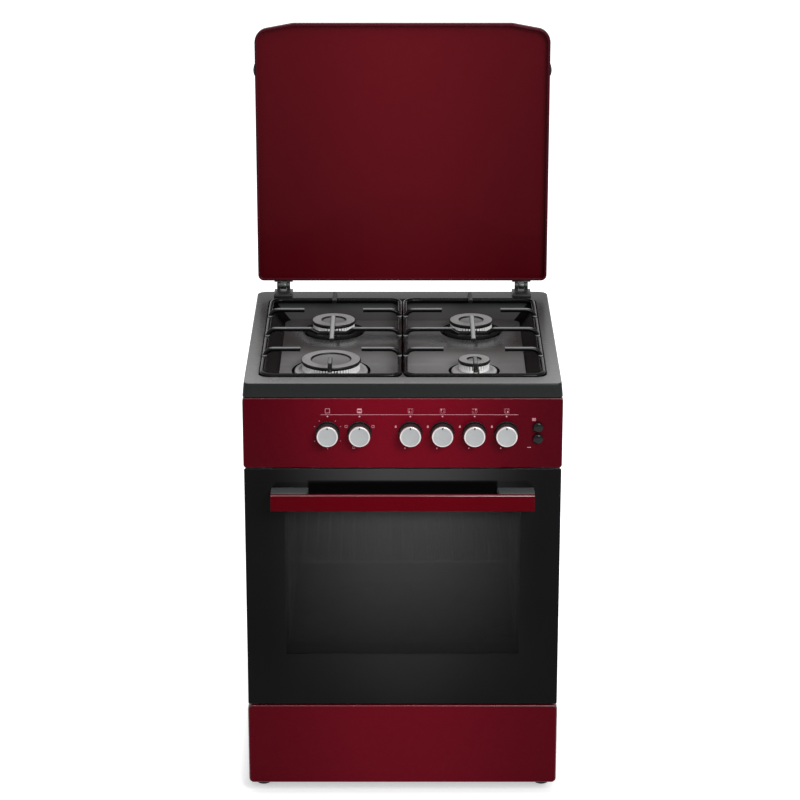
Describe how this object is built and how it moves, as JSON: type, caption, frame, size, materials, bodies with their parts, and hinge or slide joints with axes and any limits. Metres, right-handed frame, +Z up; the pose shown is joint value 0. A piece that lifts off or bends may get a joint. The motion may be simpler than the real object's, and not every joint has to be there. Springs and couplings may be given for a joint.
{
  "type": "freestanding cooker",
  "caption": "Freestanding cooker with a gas hob under a hinged lid, an electric oven with a drop-down glass door, and a storage drawer below.",
  "frame": {"origin": "on the floor, under the middle of the whole object with its handle", "axes": "+X to the right seen from the front, +Y to the back (wall), +Z up"},
  "size_m": [0.6, 0.644, 1.41],
  "materials": {
    "cabinet_paint": "satin",
    "galvanised_steel": "satin",
    "oven_enamel": "gloss",
    "mineral_wool": "matte",
    "seal_rubber": "matte",
    "chrome_wire": "polished",
    "lamp_glass": "clear",
    "element_steel": "matte",
    "red_paint": "satin",
    "black_plastic": "matte",
    "valve_brass": "satin",
    "tube_aluminium": "satin",
    "hob_enamel": "gloss",
    "burner_aluminium": "satin",
    "electrode_ceramic": "gloss",
    "hinge_plastic": "satin",
    "hinge_steel": "satin",
    "bezel_plastic": "gloss",
    "bumper_rubber": "matte",
    "door_glass": "gloss",
    "clear_glass": "clear",
    "handle_red": "gloss",
    "bracket_plastic": "satin",
    "button_plastic": "gloss",
    "grate_enamel": "satin",
    "cap_enamel": "satin",
    "knob_silver": "satin"
  },
  "bodies": {
    "cabinet": {"side_panel_left": "cabinet_paint", "side_panel_right": "cabinet_paint", "back_panel": "galvanised_steel", "base_pan": "galvanised_steel", "front_frame": "oven_enamel", "oven_cavity": "oven_enamel", "oven_insulation": "mineral_wool", "door_seal": "seal_rubber", "shelf_rails": "chrome_wire", "wire_shelf": "chrome_wire", "oven_lamp": "lamp_glass", "top_element": "element_steel", "bottom_element": "element_steel", "control_panel": "red_paint", "mains_terminal_block": "black_plastic", "gas_manifold": "galvanised_steel", "gas_valves": "valve_brass", "burner_tubes": "tube_aluminium", "oven_switches": "black_plastic", "feet": "black_plastic", "drawer_runners": "galvanised_steel", "hob_top": "hob_enamel", "burner_cups": "burner_aluminium", "spark_electrodes": "electrode_ceramic", "lid_hinge_bases": "hinge_plastic", "door_hinge_tongues": "hinge_steel", "knob_bezels": "bezel_plastic"},
    "lid": {"lid": "red_paint", "lid_bumpers": "bumper_rubber", "lid_hinge_arms": "hinge_steel"},
    "oven_door": {"door_outer_glass": "door_glass", "door_inner_panel": "oven_enamel", "door_inner_glass": "clear_glass", "door_handle": "handle_red", "door_handle_brackets": "bracket_plastic", "door_hinge_pins": "hinge_steel"},
    "drawer": {"drawer_front": "red_paint", "drawer_box": "galvanised_steel"},
    "oven_knob_1": {"knob_1": "knob_silver"},
    "oven_knob_2": {"knob_2": "knob_silver"},
    "button_upper": {"ignition_button": "button_plastic"},
    "button_lower": {"lamp_button": "button_plastic"},
    "grate_left": {"grate_left": "grate_enamel"},
    "grate_right": {"grate_right": "grate_enamel"},
    "gas_spindle_3": {"gas_spindle_3": "hinge_steel"},
    "gas_knob_3": {"knob_3": "knob_silver"},
    "gas_spindle_4": {"gas_spindle_4": "hinge_steel"},
    "gas_knob_4": {"knob_4": "knob_silver"},
    "gas_spindle_5": {"gas_spindle_5": "hinge_steel"},
    "gas_knob_5": {"knob_5": "knob_silver"},
    "gas_spindle_6": {"gas_spindle_6": "hinge_steel"},
    "gas_knob_6": {"knob_6": "knob_silver"},
    "burner_front_left": {"burner_ring_front_left": "burner_aluminium", "burner_cap_front_left": "cap_enamel"},
    "burner_rear_left": {"burner_ring_rear_left": "burner_aluminium", "burner_cap_rear_left": "cap_enamel"},
    "burner_rear_right": {"burner_ring_rear_right": "burner_aluminium", "burner_cap_rear_right": "cap_enamel"},
    "burner_front_right": {"burner_ring_front_right": "burner_aluminium", "burner_cap_front_right": "cap_enamel"}
  },
  "joints": [
    {"name": "lid_hinge", "type": "hinge", "parent": "cabinet", "child": "lid", "pos_m": [0, 0.307, 0.866], "axis": [-1, 0, 0], "range_deg": [-90, 0]},
    {"name": "door_hinge", "type": "hinge", "parent": "cabinet", "child": "oven_door", "pos_m": [0, -0.268, 0.211], "axis": [1, 0, 0], "range_deg": [0, 90]},
    {"name": "drawer_slide", "type": "slide", "parent": "cabinet", "child": "drawer", "axis": [0, -1, 0], "range_m": [0, 0.35]},
    {"name": "thermostat_turn", "type": "hinge", "parent": "cabinet", "child": "oven_knob_1", "pos_m": [-0.1408, -0.29, 0.754], "axis": [0, 1, 0], "range_deg": [0, 300]},
    {"name": "selector_turn", "type": "hinge", "parent": "cabinet", "child": "oven_knob_2", "pos_m": [-0.0808, -0.29, 0.754], "axis": [0, 1, 0], "range_deg": [0, 300]},
    {"name": "front_left_push", "type": "slide", "parent": "cabinet", "child": "gas_spindle_3", "axis": [0, 1, 0], "range_m": [0, 0.003], "stiffness_N_per_m": 800, "springref_m": -0.004},
    {"name": "front_left_turn", "type": "hinge", "parent": "gas_spindle_3", "child": "gas_knob_3", "pos_m": [0.0145, -0.29, 0.754], "axis": [0, -1, 0], "range_deg": [0, 165]},
    {"name": "rear_left_push", "type": "slide", "parent": "cabinet", "child": "gas_spindle_4", "axis": [0, 1, 0], "range_m": [0, 0.003], "stiffness_N_per_m": 800, "springref_m": -0.004},
    {"name": "rear_left_turn", "type": "hinge", "parent": "gas_spindle_4", "child": "gas_knob_4", "pos_m": [0.0745, -0.29, 0.754], "axis": [0, -1, 0], "range_deg": [0, 165]},
    {"name": "rear_right_push", "type": "slide", "parent": "cabinet", "child": "gas_spindle_5", "axis": [0, 1, 0], "range_m": [0, 0.003], "stiffness_N_per_m": 800, "springref_m": -0.004},
    {"name": "rear_right_turn", "type": "hinge", "parent": "gas_spindle_5", "child": "gas_knob_5", "pos_m": [0.1345, -0.29, 0.754], "axis": [0, -1, 0], "range_deg": [0, 165]},
    {"name": "front_right_push", "type": "slide", "parent": "cabinet", "child": "gas_spindle_6", "axis": [0, 1, 0], "range_m": [0, 0.003], "stiffness_N_per_m": 800, "springref_m": -0.004},
    {"name": "front_right_turn", "type": "hinge", "parent": "gas_spindle_6", "child": "gas_knob_6", "pos_m": [0.1945, -0.29, 0.754], "axis": [0, -1, 0], "range_deg": [0, 165]},
    {"name": "ignition_button_push", "type": "slide", "parent": "cabinet", "child": "button_upper", "axis": [0, 1, 0], "range_m": [0, 0.003], "stiffness_N_per_m": 400, "springref_m": -0.002},
    {"name": "lamp_button_push", "type": "slide", "parent": "cabinet", "child": "button_lower", "axis": [0, 1, 0], "range_m": [0, 0.003], "stiffness_N_per_m": 400, "springref_m": -0.002},
    {"name": "grate_left_lift", "type": "slide", "parent": "cabinet", "child": "grate_left", "axis": [0, 0, 1], "range_m": [0, 0.12]},
    {"name": "grate_right_lift", "type": "slide", "parent": "cabinet", "child": "grate_right", "axis": [0, 0, 1], "range_m": [0, 0.12]},
    {"name": "burner_front_left_lift", "type": "slide", "parent": "cabinet", "child": "burner_front_left", "axis": [0, 0, 1], "range_m": [0, 0.06]},
    {"name": "burner_rear_left_lift", "type": "slide", "parent": "cabinet", "child": "burner_rear_left", "axis": [0, 0, 1], "range_m": [0, 0.06]},
    {"name": "burner_rear_right_lift", "type": "slide", "parent": "cabinet", "child": "burner_rear_right", "axis": [0, 0, 1], "range_m": [0, 0.06]},
    {"name": "burner_front_right_lift", "type": "slide", "parent": "cabinet", "child": "burner_front_right", "axis": [0, 0, 1], "range_m": [0, 0.06]}
  ]
}
